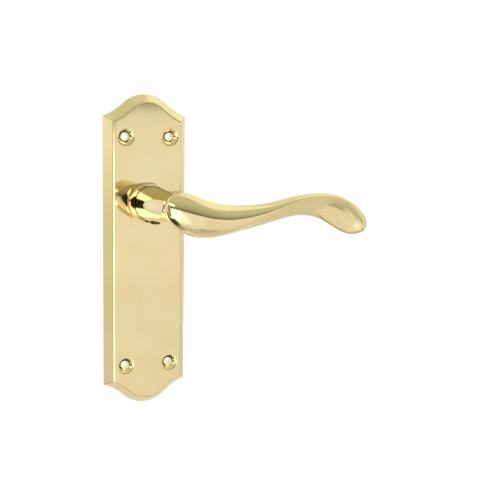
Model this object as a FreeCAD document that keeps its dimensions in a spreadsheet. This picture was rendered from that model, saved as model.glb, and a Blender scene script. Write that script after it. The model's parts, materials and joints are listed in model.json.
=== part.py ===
import FreeCAD, Part

import math
import os

import Sketcher

# Sprung lever latch handle on an ogee backplate, in millimetres.
# Frame: the origin is on the spindle axis in the plane of the door's face, +X points along the lever,
# +Y into the door and +Z up. The handle's front faces -Y. A depth is counted forwards from the door's
# face, and a height forwards from the plate's face.

DRIVING_SIZES = {
    # backplate
    "plate_height": 150.0,
    "plate_width": 41.0,
    "plate_depth": 6.6,
    "plate_side_wall": 1.2,
    "bevel_width": 3.6,
    "bevel_round": 1.5,
    "straight_side": 129.4,
    "crest_radius": 15.5,
    "crest_half_width": 10.5,
    "spindle_rise": 23.7,
    "recess_depth": 4.6,
    "recess_rim": 3.4,
    "recess_length": 122.0,
    "recess_corner": 6.0,
    "fixing_across": 22.0,
    "fixing_along": 110.0,
    "fixing_bore": 4.0,
    "fixing_sink": 7.4,
    "fixing_post_radius": 4.4,
    # neck boss and its bush
    "boss_height": 6.2,
    "boss_sunk": 1.0,
    "boss_root_radius": 9.05,
    "boss_rim_radius": 9.2,
    "boss_round": 0.5,
    "bush_outer": 8.0,
    "bush_bore": 7.1,
    "bush_flange_radius": 8.5,
    "bush_flange": 0.9,
    "counterbore_radius": 8.6,
    "counterbore_depth": 1.6,
    # lever's neck and shank
    "neck_start_radius": 8.45,
    "neck_middle_radius": 7.4,
    "neck_middle_height": 20.0,
    "neck_end_radius": 5.7,
    "neck_end_height": 34.2,
    "neck_sunk_height": 41.0,
    "shank_radius": 7.05,
    "shank_flat": 6.2,
    "shank_back": 0.2,
    "socket_side": 8.1,
    "socket_depth": 30.0,
    "running_gap": 0.05,
    # grub screw
    "grub_radius": 2.5,
    "grub_height": 10.6,
    "grub_length": 5.0,
    "grub_inner_end": 4.1,
    "grub_key": 2.5,
    "grub_key_depth": 2.2,
    "grub_cup_radius": 1.3,
    "grub_cup_depth": 0.6,
    # spring unit in the recess
    "housing_radius": 15.8,
    "housing_floor": 0.6,
    "housing_hole": 8.3,
    "housing_key_width": 10.8,
    "housing_key_reach": 19.5,
    "channel_radius": 12.4,
    "channel_half_width": 1.6,
    "abutment_inner": 10.9,
    "abutment_half_angle": 14.0,
    "cover_thick": 0.7,
    "cover_back": 0.3,
    "cover_hole": 9.8,
    "cover_half_width": 16.0,
    "cover_half_height": 21.2,
    "cover_corner": 6.0,
    "ear_across": 17.0,
    "ear_along": 36.0,
    "ear_radius": 3.0,
    "cover_screw_radius": 1.25,
    "cover_screw_head": 1.95,
    "cover_screw_length": 4.5,
    "cover_screw_slot": 0.5,
    "cover_screw_slot_depth": 0.35,
    # cam, springs and stops
    "cam_thick": 1.5,
    "cam_hub_radius": 8.7,
    "cam_arm_width": 3.0,
    "cam_arm_reach": 13.8,
    "lobe_radius": 10.6,
    "lobe_half_angle": 20.0,
    "travel_degrees": 50.0,
    "stop_pin_radius": 0.9,
    "stop_pin_circle": 9.8,
    "stop_pin_back": 1.7,
    "stop_gap_degrees": 0.15,
    "slip_washer_thick": 0.4,
    "slip_washer_radius": 8.7,
    "wire_radius": 0.3,
    "coil_radius": 1.05,
    "coil_turns": 11.0,
    "shoe_start_degrees": 8.2,
    "shoe_end_degrees": 17.0,
    "shoe_half_width": 1.45,
    "shoe_half_depth": 1.35,
    # washers and circlip on the shank
    "washer_bore": 7.15,
    "washer_radius": 8.6,
    "disc_spring_thick": 0.25,
    "disc_spring_rise": 0.2,
    "shank_washer_thick": 0.25,
    "circlip_thick": 0.6,
    "circlip_radius": 8.3,
    "circlip_groove_radius": 6.6,
    "circlip_gap_degrees": 24.0,
    "circlip_lug_radius": 1.1,
    "circlip_lug_circle": 8.1,
    "circlip_lug_hole": 0.5,
}

# The lever's outline and section at each station along it. The columns are the upper edge's X and Z, the
# lower edge's X and Z, then the ridge's place across the lever (-1 at the lower edge, 1 at the upper),
# and the depths in front of the plate's face of the rear, lower edge, upper edge, ridge and crown.
STATION_COLUMNS = (
    "upper_x", "upper_z", "lower_x", "lower_z", "ridge_across",
    "rear_height", "lower_height", "upper_height", "ridge_height", "crown_height",
)
STATIONS = (
    (-5.6, 2.6, -5.7, 0.2, -1.0, 38.8, 39.2, 41.6, 41.6, 41.9),
    (-4.7, 5.4, -4.9, -2.8, -1.0, 38.8, 39.2, 41.6, 41.6, 43.2),
    (-2.0, 7.3, -2.6, -6.2, -1.0, 38.8, 39.2, 41.7, 41.6, 45.1),
    (4.0, 7.6, 3.0, -10.4, -1.0, 38.8, 39.2, 42.2, 41.6, 47.0),
    (12.0, 4.8, 11.0, -12.6, -1.0, 38.7, 39.4, 43.0, 42.0, 47.8),
    (22.0, 2.3, 20.0, -12.4, -0.93, 38.5, 39.8, 43.0, 42.8, 47.5),
    (33.0, 1.8, 31.0, -10.2, -0.65, 38.2, 40.2, 42.8, 44.6, 47.2),
    (45.0, 3.0, 44.0, -7.0, 0.03, 38.0, 40.6, 42.6, 46.6, 46.9),
    (56.0, 5.4, 56.0, -4.2, 0.45, 37.8, 40.6, 42.4, 46.6, 46.7),
    (65.0, 6.5, 64.0, -4.0, 0.6, 37.6, 40.4, 42.2, 46.4, 46.5),
    (75.0, 6.4, 71.0, -5.7, 0.67, 37.4, 39.8, 42.0, 46.2, 46.3),
    (84.0, 3.8, 77.0, -8.8, 0.65, 37.2, 39.4, 41.8, 45.8, 45.9),
    (91.0, -0.8, 82.0, -11.6, 0.56, 37.1, 39.2, 41.6, 45.2, 45.3),
    (95.2, -5.4, 86.5, -13.4, 0.38, 37.3, 39.2, 41.2, 44.2, 44.3),
    (96.2, -9.4, 90.5, -13.9, 0.1, 38.0, 39.4, 40.8, 42.8, 42.9),
    (95.4, -11.6, 93.6, -13.2, 0.0, 39.0, 39.6, 40.4, 41.4, 41.5),
)

SHEET = "Dim"

# Depths of the hidden pieces' faces, as expressions on the sizes above.
HOUSING_FACE = "(recess_depth - housing_floor)"
COVER_FRONT = "(cover_back + cover_thick)"
CAM_FRONT = "(recess_depth - housing_floor - slip_washer_thick - running_gap)"
CAM_BACK = "(recess_depth - housing_floor - slip_washer_thick - running_gap - cam_thick)"
BOSS_FRONT = "(plate_depth + boss_height)"
FLANGE_BACK = "(plate_depth + boss_height - counterbore_depth)"
FLANGE_FRONT = "(plate_depth + boss_height - counterbore_depth + bush_flange)"
DISC_SPRING_BACK = f"({CAM_BACK} - disc_spring_thick - disc_spring_rise)"
WASHER_BACK = f"({DISC_SPRING_BACK} - shank_washer_thick)"
CHANNEL_DEPTH = f"(({HOUSING_FACE} + {COVER_FRONT}) / 2)"

# The cam's arm points straight down at rest and swings towards -X as the lever goes down.
PIN_HALF_ANGLE = "(asin(stop_pin_radius / stop_pin_circle) / 1 deg)"
REST_PIN_ANGLE = f"(-90 + lobe_half_angle + stop_gap_degrees + {PIN_HALF_ANGLE})"
TRAVEL_PIN_ANGLE = f"(-90 - lobe_half_angle - travel_degrees - stop_gap_degrees - {PIN_HALF_ANGLE})"

doc = FreeCAD.newDocument("lever_handle_on_backplate")
sheet = doc.addObject("Spreadsheet::Sheet", SHEET)
sub_parts = []


def fill_sheet():
    """Write each driving size, and each station's row, into a cell with an alias."""
    for row, (alias, number) in enumerate(DRIVING_SIZES.items(), start=1):
        sheet.set(f"A{row}", alias)
        sheet.set(f"B{row}", str(number))
        sheet.setAlias(f"B{row}", alias)
    first_row = len(DRIVING_SIZES) + 3
    for station, numbers in enumerate(STATIONS):
        for column, (heading, number) in enumerate(zip(STATION_COLUMNS, numbers)):
            cell = f"{chr(ord('B') + column)}{first_row + station}"
            sheet.set(cell, str(number))
            sheet.setAlias(cell, f"station_{station}_{heading}")
    doc.recompute()


def size(expression):
    """The number that an expression on the sheet's aliases gives, such as 'plate_width / 2'."""
    return float(sheet.evalExpression(expression))


def linked(expression):
    """The same expression as another object writes it, with the sheet's name before each alias."""
    pieces = []
    word = ""
    for letter in expression + " ":
        if letter.isalnum() or letter == "_":
            word += letter
            continue
        pieces.append(f"{SHEET}.{word}" if word in DRIVING_SIZES else word)
        pieces.append(letter)
        word = ""
    return "".join(pieces).strip()


def bind(thing, path, expression):
    thing.setExpression(path, linked(expression))


# ---------------------------------------------------------------- sketches

def sketch_on(body, plane, name, rise=None):
    """A sketch on one of the body's own origin planes, moved along the plane's normal by rise."""
    sketch = body.newObject("Sketcher::SketchObject", name)
    support = [feature for feature in body.Origin.OriginFeatures if feature.Role == plane][0]
    sketch.AttachmentSupport = [(support, "")]
    sketch.MapMode = "FlatFace"
    if rise:
        bind(sketch, "AttachmentOffset.Base.z", rise)
    doc.recompute()
    return sketch


def place_point(sketch, curve, end, across, up):
    """Fix a curve's end, or a circle's centre, at two expressions from the sketch's origin."""
    for kind, expression in (("DistanceX", across), ("DistanceY", up)):
        index = sketch.addConstraint(Sketcher.Constraint(kind, -1, 1, curve, end, size(expression)))
        bind(sketch, f"Constraints[{index}]", expression)


def set_radius(sketch, curve, radius):
    index = sketch.addConstraint(Sketcher.Constraint("Radius", curve, size(radius)))
    bind(sketch, f"Constraints[{index}]", radius)


def flat(across, up):
    return FreeCAD.Vector(size(across), size(up), 0)


def arc_through(start, passed, end):
    """An anticlockwise arc of a sketch that joins two points and passes a third."""
    found = Part.Arc(start, passed, end).toShape().Curve
    turns_left = (passed - start).cross(end - passed).z > 0
    first, last = (start, end) if turns_left else (end, start)
    ring = Part.Circle(found.Center, FreeCAD.Vector(0, 0, 1), found.Radius)
    first_angle = math.atan2(first.y - found.Center.y, first.x - found.Center.x)
    last_angle = math.atan2(last.y - found.Center.y, last.x - found.Center.x)
    return Part.ArcOfCircle(ring, first_angle, last_angle)


def ends_of(sketch, curve, point):
    """Which end of a curve lies at a point, and then which one doesn't."""
    at_start = (sketch.Geometry[curve].StartPoint - point).Length < 1e-6
    return (1, 2) if at_start else (2, 1)


def polygon(sketch, corners, through=None):
    """A closed outline through corners, each a pair of expressions.

    through gives, for a side's number, a point that this side passes as an arc instead of a line.
    """
    through = through or {}
    points = [flat(*corner) for corner in corners]
    count = len(points)
    first = sketch.GeometryCount
    starts = []
    for index in range(count):
        start, end = points[index], points[(index + 1) % count]
        if index in through:
            curve = sketch.addGeometry(arc_through(start, flat(*through[index]), end), False)
            starts.append(ends_of(sketch, curve, start))
        else:
            sketch.addGeometry(Part.LineSegment(start, end), False)
            starts.append((1, 2))
    for index in range(count):
        following = (index + 1) % count
        sketch.addConstraint(Sketcher.Constraint(
            "Coincident", first + index, starts[index][1], first + following, starts[following][0],
        ))
        place_point(sketch, first + index, starts[index][0], *corners[index])
    for index, passed in through.items():
        marker = sketch.addGeometry(Part.Point(flat(*passed)), True)
        place_point(sketch, marker, 1, *passed)
        sketch.addConstraint(Sketcher.Constraint("PointOnObject", marker, 1, first + index))


def circle(sketch, across, up, radius):
    """A circle whose centre and radius are expressions."""
    up_normal = FreeCAD.Vector(0, 0, 1)
    curve = sketch.addGeometry(Part.Circle(flat(across, up), up_normal, size(radius)), False)
    place_point(sketch, curve, 3, across, up)
    set_radius(sketch, curve, radius)


def at_angle(radius, degrees):
    """The point at a radius and an angle from the sketch's X axis, as a pair of expressions."""
    return f"({radius}) * cos({degrees})", f"({radius}) * sin({degrees})"


def ring_sector(sketch, inner, outer, first, last):
    """A piece of a ring about the sketch's origin between two angles, all expressions."""
    middle = f"(({first}) + ({last})) / 2"
    polygon(
        sketch,
        (at_angle(inner, first), at_angle(outer, first), at_angle(outer, last), at_angle(inner, last)),
        through={1: at_angle(outer, middle), 3: at_angle(inner, middle)},
    )


def four_corners(across, along):
    """The corners of a rectangle about the origin, as pairs of expressions."""
    return [
        (f"{sign_x}{across} / 2", f"{sign_y}{along} / 2")
        for sign_x in ("", "-")
        for sign_y in ("", "-")
    ]


def rounded_box(sketch, half_width, half_height, corner):
    """A rectangle about the sketch's origin with rounded corners, all expressions."""
    slack = f"({corner} * (1 - sqrt(0.5)))"
    corners = []
    through = {}
    for side_x, side_y in (("", ""), ("-", ""), ("-", "-"), ("", "-")):
        beside = (f"{side_x}({half_width})", f"{side_y}({half_height} - {corner})")
        above = (f"{side_x}({half_width} - {corner})", f"{side_y}({half_height})")
        passed = (f"{side_x}({half_width} - {slack})", f"{side_y}({half_height} - {slack})")
        through[len(corners)] = passed
        corners.extend((beside, above) if side_x == side_y else (above, beside))
    polygon(sketch, corners, through)


# ---------------------------------------------------------------- bodies and features

def new_body(label):
    body = doc.addObject("PartDesign::Body", label)
    body.Label = label
    return body


def volume_of(body):
    return body.Shape.Volume if body.Tip else 0.0


def extrude(body, kind, sketch, length):
    """A Pad or Pocket of a sketch over a length given by an expression."""
    doc.recompute()
    before = volume_of(body)
    feature = body.newObject(f"PartDesign::{kind}", f"{sketch.Label}_{kind.lower()}")
    feature.Profile = sketch
    bind(feature, "Length", length)
    doc.recompute()
    if kind == "Pocket" and before - volume_of(body) < 1e-3:
        feature.Reversed = True
        doc.recompute()
    if abs(before - volume_of(body)) < 1e-3:
        raise RuntimeError(f"{feature.Name} changes nothing")
    return feature


def pad(body, sketch, length):
    """Grow a sketch on the XZ plane forwards, towards the handle's front."""
    return extrude(body, "Pad", sketch, length)


def pocket(body, sketch, length):
    return extrude(body, "Pocket", sketch, length)


def turned(body, kind, corners, name, through=None, rise=None):
    """A Revolution or Groove about the Y axis, or about the line at rise above it.

    The corners are pairs of expressions: a depth in front of the door's face, and a radius.
    """
    sketch = sketch_on(body, "YZ_Plane", f"{name}_profile")
    if rise:
        bind(sketch, "AttachmentOffset.Base.y", rise)
    forwards = [(f"-({depth})", radius) for depth, radius in corners]
    passed = {side: (f"-({depth})", radius) for side, (depth, radius) in (through or {}).items()}
    polygon(sketch, forwards, passed)
    doc.recompute()
    before = volume_of(body)
    feature = body.newObject(f"PartDesign::{kind}", name)
    feature.Profile = sketch
    feature.ReferenceAxis = (sketch, ["H_Axis"])
    feature.Angle = 360
    doc.recompute()
    if abs(volume_of(body) - before) < 1e-3:
        raise RuntimeError(f"{name} changes nothing")
    return feature


def ring_edges(feature, depth, radius):
    """The names of a feature's circular edges of one radius at one depth."""
    names = []
    for number, edge in enumerate(feature.Shape.Edges, start=1):
        if not isinstance(edge.Curve, Part.Circle):
            continue
        if abs(edge.Curve.Radius - size(radius)) < 1e-3 and abs(edge.Curve.Center.y + size(depth)) < 1e-3:
            names.append(f"Edge{number}")
    return names


def edges_at_depth(feature, depth):
    """The names of the edges that lie wholly at one depth."""
    names = []
    for number, edge in enumerate(feature.Shape.Edges, start=1):
        if all(abs(vertex.Point.y + size(depth)) < 1e-6 for vertex in edge.Vertexes):
            names.append(f"Edge{number}")
    return names


def washer(label, back, thick, bore, radius):
    """A plain ring about the spindle axis."""
    body = new_body(label)
    ring = sketch_on(body, "XZ_Plane", f"{label}_rings", rise=back)
    circle(ring, "0", "0", radius)
    circle(ring, "0", "0", bore)
    pad(body, ring, thick)
    return body


# ---------------------------------------------------------------- backplate

def ogee_outline(sketch):
    """The plate's outline: straight sides, and at each end a convex crest between two hollow arcs."""
    side = "plate_width / 2"
    corner = "straight_side / 2"
    turn_in = "crest_half_width"
    turn_up = "plate_height / 2 - crest_radius + sqrt(crest_radius ^ 2 - crest_half_width ^ 2)"
    crest_centre = size("plate_height / 2 - crest_radius")
    # the hollow arc leaves the crest along the same tangent and runs out at the corner
    outward = (flat(turn_in, turn_up) - FreeCAD.Vector(0, crest_centre, 0)) / size("crest_radius")
    chord = flat(side, corner) - flat(turn_in, turn_up)
    hollow_radius = chord.Length ** 2 / (2 * chord.dot(outward))
    hollow_centre = flat(turn_in, turn_up) + outward * hollow_radius
    halfway = (flat(side, corner) + flat(turn_in, turn_up)) / 2 - hollow_centre
    on_hollow = hollow_centre + halfway * (hollow_radius / halfway.Length)

    def mirrored(point, side_x, side_y):
        return FreeCAD.Vector(side_x * point.x, side_y * point.y, 0)

    crests = {}
    hollows = {}
    for side_y, sign_y in ((1, ""), (-1, "-")):
        right = mirrored(flat(turn_in, turn_up), 1, side_y)
        left = mirrored(flat(turn_in, turn_up), -1, side_y)
        top = FreeCAD.Vector(0, side_y * size("plate_height / 2"), 0)
        crests[side_y] = sketch.addGeometry(arc_through(right, top, left), False)
        set_radius(sketch, crests[side_y], "crest_radius")
        for side_x, sign_x in ((1, ""), (-1, "-")):
            turn = mirrored(flat(turn_in, turn_up), side_x, side_y)
            passed = mirrored(on_hollow, side_x, side_y)
            foot = mirrored(flat(side, corner), side_x, side_y)
            hollow = sketch.addGeometry(arc_through(turn, passed, foot), False)
            hollows[side_x, side_y] = hollow
            turn_end, foot_end = ends_of(sketch, hollow, turn)
            crest_end, _ = ends_of(sketch, crests[side_y], turn)
            place_point(sketch, crests[side_y], crest_end, f"{sign_x}{turn_in}", f"{sign_y}({turn_up})")
            place_point(sketch, hollow, foot_end, f"{sign_x}{side}", f"{sign_y}{corner}")
            sketch.addConstraint(Sketcher.Constraint(
                "Tangent", crests[side_y], crest_end, hollow, turn_end,
            ))
    for side_x in (1, -1):
        top = mirrored(flat(side, corner), side_x, 1)
        bottom = mirrored(flat(side, corner), side_x, -1)
        line = sketch.addGeometry(Part.LineSegment(top, bottom), False)
        for side_y, line_end, foot in ((1, 1, top), (-1, 2, bottom)):
            foot_end, _ = ends_of(sketch, hollows[side_x, side_y], foot)
            sketch.addConstraint(Sketcher.Constraint(
                "Coincident", hollows[side_x, side_y], foot_end, line, line_end,
            ))


def bevel_plate(body, blank):
    """Slope the plate's front edge back to a thin side wall, and round where it meets the face."""
    bevel = body.newObject("PartDesign::Chamfer", "plate_bevel")
    bevel.Base = (blank, edges_at_depth(blank, "plate_depth"))
    bevel.ChamferType = "Two distances"
    bind(bevel, "Size", "plate_depth - plate_side_wall")
    bind(bevel, "Size2", "bevel_width")
    doc.recompute()
    softened = body.newObject("PartDesign::Fillet", "bevel_edge_round")
    softened.Base = (bevel, edges_at_depth(bevel, "plate_depth"))
    bind(softened, "Radius", "bevel_round")
    doc.recompute()


def add_boss(body):
    """The round neck boss and the stepped bore for the bush."""
    turned(body, "Revolution", (
        ("plate_depth - boss_sunk", "0"),
        ("plate_depth - boss_sunk", "boss_root_radius"),
        ("plate_depth", "boss_root_radius"),
        (BOSS_FRONT, "boss_rim_radius"),
        (BOSS_FRONT, "0"),
    ), "boss", rise="spindle_rise")
    boss = body.Tip
    rim = body.newObject("PartDesign::Fillet", "boss_rim_round")
    rim.Base = (boss, ring_edges(boss, BOSS_FRONT, "boss_rim_radius"))
    bind(rim, "Radius", "boss_round")
    doc.recompute()
    turned(body, "Groove", (
        ("-1", "0"),
        ("-1", "bush_outer"),
        (FLANGE_BACK, "bush_outer"),
        (FLANGE_BACK, "counterbore_radius"),
        (f"{BOSS_FRONT} + 1", "counterbore_radius"),
        (f"{BOSS_FRONT} + 1", "0"),
    ), "bush_seat", rise="spindle_rise")


def add_fixing_holes(body):
    """Four countersunk holes for the wood screws."""
    centres = sketch_on(body, "XZ_Plane", "fixing_centres", rise="plate_depth")
    for across, up in four_corners("fixing_across", "fixing_along"):
        circle(centres, across, up, "fixing_bore / 2")
    doc.recompute()
    holes = body.newObject("PartDesign::Hole", "fixing_holes")
    holes.Profile = centres
    holes.ThreadType = "None"
    holes.DepthType = "ThroughAll"
    bind(holes, "Diameter", "fixing_bore")
    holes.HoleCutType = "Countersink"
    holes.HoleCutCustomValues = True
    bind(holes, "HoleCutDiameter", "fixing_sink")
    holes.HoleCutCountersinkAngle = 90
    doc.recompute()


def make_backplate():
    """The cast plate, drawn about its own centre and placed so that the boss is on the spindle axis."""
    body = new_body("backplate")
    outline = sketch_on(body, "XZ_Plane", "plate_outline")
    ogee_outline(outline)
    bevel_plate(body, pad(body, outline, "plate_depth"))

    recess = sketch_on(body, "XZ_Plane", "recess")
    rounded_box(recess, "plate_width / 2 - recess_rim", "recess_length / 2", "recess_corner")
    pocket(body, recess, "recess_depth")

    posts = sketch_on(body, "XZ_Plane", "fixing_posts")
    for across, up in four_corners("fixing_across", "fixing_along"):
        circle(posts, across, up, "fixing_post_radius")
    pad(body, posts, "recess_depth")
    ears = sketch_on(body, "XZ_Plane", "cover_posts", rise=COVER_FRONT)
    for across, up in four_corners("ear_across", "ear_along"):
        circle(ears, across, f"spindle_rise + {up}", "ear_radius")
    pad(body, ears, f"recess_depth - {COVER_FRONT}")

    add_boss(body)
    add_fixing_holes(body)
    taps = sketch_on(body, "XZ_Plane", "cover_screw_taps", rise=COVER_FRONT)
    for across, up in four_corners("ear_across", "ear_along"):
        circle(taps, across, f"spindle_rise + {up}", "cover_screw_radius")
    pocket(body, taps, "cover_screw_length + 0.1 - cover_thick")
    bind(body, "Placement.Base.z", "-spindle_rise")
    doc.recompute()
    return body


def make_neck_bush():
    """The nylon bush: a sleeve with a flange that the lever's shoulder turns on."""
    body = new_body("neck_bush")
    turned(body, "Revolution", (
        ("recess_depth", "bush_bore"),
        ("recess_depth", "bush_outer"),
        (FLANGE_BACK, "bush_outer"),
        (FLANGE_BACK, "bush_flange_radius"),
        (FLANGE_FRONT, "bush_flange_radius"),
        (FLANGE_FRONT, "bush_bore"),
    ), "sleeve_and_flange")
    return body


# ---------------------------------------------------------------- lever

def make_neck():
    """The neck and shank, turned about the spindle axis, with flats behind for the cam."""
    body = new_body("neck_and_shank")
    plate = "plate_depth"
    turned(body, "Revolution", (
        ("shank_back", "0"),
        ("shank_back", "shank_radius"),
        (f"{FLANGE_FRONT} + running_gap", "shank_radius"),
        (f"{FLANGE_FRONT} + running_gap", "neck_start_radius"),
        (BOSS_FRONT, "neck_start_radius"),
        (f"{plate} + neck_end_height", "neck_end_radius"),
        (f"{plate} + neck_sunk_height", "neck_end_radius"),
        (f"{plate} + neck_sunk_height", "0"),
    ), "neck", through={4: (f"{plate} + neck_middle_height", "neck_middle_radius")})
    turned(body, "Groove", (
        (f"{WASHER_BACK} - circlip_thick - running_gap", "circlip_groove_radius"),
        (f"{WASHER_BACK} - circlip_thick - running_gap", "shank_radius + 1"),
        (WASHER_BACK, "shank_radius + 1"),
        (WASHER_BACK, "circlip_groove_radius"),
    ), "circlip_groove")
    flats = sketch_on(body, "XZ_Plane", "cam_flats", rise="shank_back - 0.1")
    for side in ("", "-"):
        polygon(flats, (
            (f"{side}shank_flat", "-shank_radius - 1"),
            (f"{side}(shank_radius + 1)", "-shank_radius - 1"),
            (f"{side}(shank_radius + 1)", "shank_radius + 1"),
            (f"{side}shank_flat", "shank_radius + 1"),
        ))
    doc.recompute()
    before = body.Shape.Volume
    cut = body.newObject("PartDesign::Pocket", "cam_flats_pocket")
    cut.Profile = flats
    cut.Reversed = True
    bind(cut, "Length", f"{CAM_FRONT} - shank_back + 0.1 + running_gap / 2")
    doc.recompute()
    if before - body.Shape.Volume < 1:
        raise RuntimeError("the flats cut nothing")
    return body


def station_value(station, heading):
    return size(f"station_{station}_{heading}")


def lever_section(station):
    """One closed section of the lever: its rear, its face and its flank, each a Bezier curve.

    Across is -1 at the lower edge and 1 at the upper one. Height is in front of the plate's face.
    """
    upper_x, upper_z, lower_x, lower_z, ridge, rear, lower, upper, ridge_height, crown = (
        station_value(station, heading) for heading in STATION_COLUMNS
    )
    middle = FreeCAD.Vector((upper_x + lower_x) / 2, 0, (upper_z + lower_z) / 2)
    half = FreeCAD.Vector((upper_x - lower_x) / 2, 0, (upper_z - lower_z) / 2)

    def at(across, height):
        return middle + half * across + FreeCAD.Vector(0, -size("plate_depth") - height, 0)

    # a cubic's peak is an eighth of its ends plus six eighths of its two handles
    rear_handle = (8 * rear - lower - upper) / 6
    crown_handle = (8 * crown - upper - ridge_height) / 6
    lean = 0.14 * (1 - ridge)
    poles = (
        (at(-1, lower), at(-0.98, rear_handle), at(0.98, rear_handle), at(1, upper)),
        (at(1, upper), at(1 - lean, crown_handle), at(ridge + lean, crown_handle), at(ridge, ridge_height)),
        (
            at(ridge, ridge_height),
            at(ridge - 0.3 * (ridge + 1), ridge_height - 0.25 * (ridge_height - lower)),
            at(-1, lower + 0.4 * (ridge_height - lower)),
            at(-1, lower),
        ),
    )
    edges = []
    for handles in poles:
        curve = Part.BezierCurve()
        curve.setPoles(list(handles))
        edges.append(curve.toShape())
    return Part.Wire(edges)


def make_lever_handle():
    """The lever casting: the S-shaped arm fused with its neck, then bored for spindle and screw."""
    arm = doc.addObject("Part::Feature", "lever_arm")
    sections = [lever_section(station) for station in range(len(STATIONS))]
    arm.Shape = Part.makeLoft(sections, True, False)
    neck = make_neck()
    casting = doc.addObject("Part::Fuse", "lever_casting")
    casting.Base = neck
    casting.Tool = arm
    socket = doc.addObject("Part::Box", "spindle_socket")
    for direction in ("Length", "Height"):
        bind(socket, direction, "socket_side")
    bind(socket, "Width", "socket_depth + 1")
    bind(socket, "Placement.Base.x", "-socket_side / 2")
    bind(socket, "Placement.Base.y", "-socket_depth")
    bind(socket, "Placement.Base.z", "-socket_side / 2")
    tap = doc.addObject("Part::Cylinder", "grub_screw_tap")
    bind(tap, "Radius", "grub_radius")
    bind(tap, "Height", "neck_start_radius + 2")
    tap.Placement.Rotation = FreeCAD.Rotation(FreeCAD.Vector(1, 0, 0), 180)
    bind(tap, "Placement.Base.y", "-plate_depth - grub_height")
    bind(tap, "Placement.Base.z", "-socket_side / 2 + 0.2")
    holes = doc.addObject("Part::Fuse", "lever_holes")
    holes.Base = socket
    holes.Tool = tap
    lever = doc.addObject("Part::Cut", "lever_handle")
    lever.Base = casting
    lever.Tool = holes
    doc.recompute()
    return lever


def make_grub_screw():
    """A cup-point set screw under the neck, with a hexagon socket in its outer end."""
    body = new_body("grub_screw")
    shank = sketch_on(body, "XY_Plane", "screw_circle")
    circle(shank, "0", "0", "grub_radius")
    extrude(body, "Pad", shank, "grub_length")
    cup = sketch_on(body, "XY_Plane", "cup_circle", rise="grub_length")
    circle(cup, "0", "0", "grub_cup_radius")
    pocket(body, cup, "grub_cup_depth")
    key = sketch_on(body, "XY_Plane", "key_hexagon")
    corner = "grub_key / (2 * cos(30))"
    polygon(key, [at_angle(corner, f"{60 * step}") for step in range(6)])
    pocket(body, key, "grub_key_depth")
    bind(body, "Placement.Base.y", "-plate_depth - grub_height")
    bind(body, "Placement.Base.z", "-grub_inner_end - grub_length")
    doc.recompute()
    return body


# ---------------------------------------------------------------- spring unit

def make_spring_housing():
    """The cast cup with the springs' ring channel, the fixed abutment and a key between the posts."""
    body = new_body("spring_housing")
    block = sketch_on(body, "XZ_Plane", "housing_block", rise=COVER_FRONT)
    circle(block, "0", "0", "housing_radius")
    pad(body, block, f"recess_depth - {COVER_FRONT}")
    key = sketch_on(body, "XZ_Plane", "housing_key", rise=COVER_FRONT)
    polygon(key, (
        ("-housing_key_width / 2", "abutment_inner + 3"),
        ("housing_key_width / 2", "abutment_inner + 3"),
        ("housing_key_width / 2", "housing_key_reach"),
        ("-housing_key_width / 2", "housing_key_reach"),
    ))
    pad(body, key, f"recess_depth - {COVER_FRONT}")
    well = sketch_on(body, "XZ_Plane", "housing_well", rise=COVER_FRONT)
    circle(well, "0", "0", "abutment_inner")
    pocket(body, well, f"{HOUSING_FACE} - {COVER_FRONT}")
    channel = sketch_on(body, "XZ_Plane", "spring_channel", rise=COVER_FRONT)
    ring_sector(
        channel, "abutment_inner - 0.5", "channel_radius + channel_half_width",
        "90 + abutment_half_angle", "450 - abutment_half_angle",
    )
    pocket(body, channel, f"{HOUSING_FACE} - {COVER_FRONT}")
    centre = sketch_on(body, "XZ_Plane", "housing_centre", rise=COVER_FRONT)
    circle(centre, "0", "0", "housing_hole")
    pocket(body, centre, "recess_depth")
    pins = sketch_on(body, "XZ_Plane", "pin_holes", rise=COVER_FRONT)
    for angle in (REST_PIN_ANGLE, TRAVEL_PIN_ANGLE):
        circle(pins, *at_angle("stop_pin_circle", angle), "stop_pin_radius")
    pocket(body, pins, "recess_depth")
    return body


def make_housing_cover():
    """The steel plate that closes the housing, with a hole for the shank's washers."""
    body = new_body("housing_cover")
    sheet_outline = sketch_on(body, "XZ_Plane", "cover_outline", rise="cover_back")
    rounded_box(sheet_outline, "cover_half_width", "cover_half_height", "cover_corner")
    circle(sheet_outline, "0", "0", "cover_hole")
    pad(body, sheet_outline, "cover_thick")
    for number, (across, up) in enumerate(four_corners("ear_across", "ear_along")):
        sink = sketch_on(body, "YZ_Plane", f"cover_sink_{number}", rise=across)
        bind(sink, "AttachmentOffset.Base.y", up)
        polygon(sink, (
            (f"-{COVER_FRONT}", "0"),
            (f"-{COVER_FRONT}", "cover_screw_radius"),
            ("-cover_back", "cover_screw_head"),
            ("-cover_back", "0"),
        ))
        doc.recompute()
        cut = body.newObject("PartDesign::Groove", f"cover_screw_hole_{number}")
        cut.Profile = sink
        cut.ReferenceAxis = (sink, ["H_Axis"])
        cut.Angle = 360
        doc.recompute()
    return body


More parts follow.
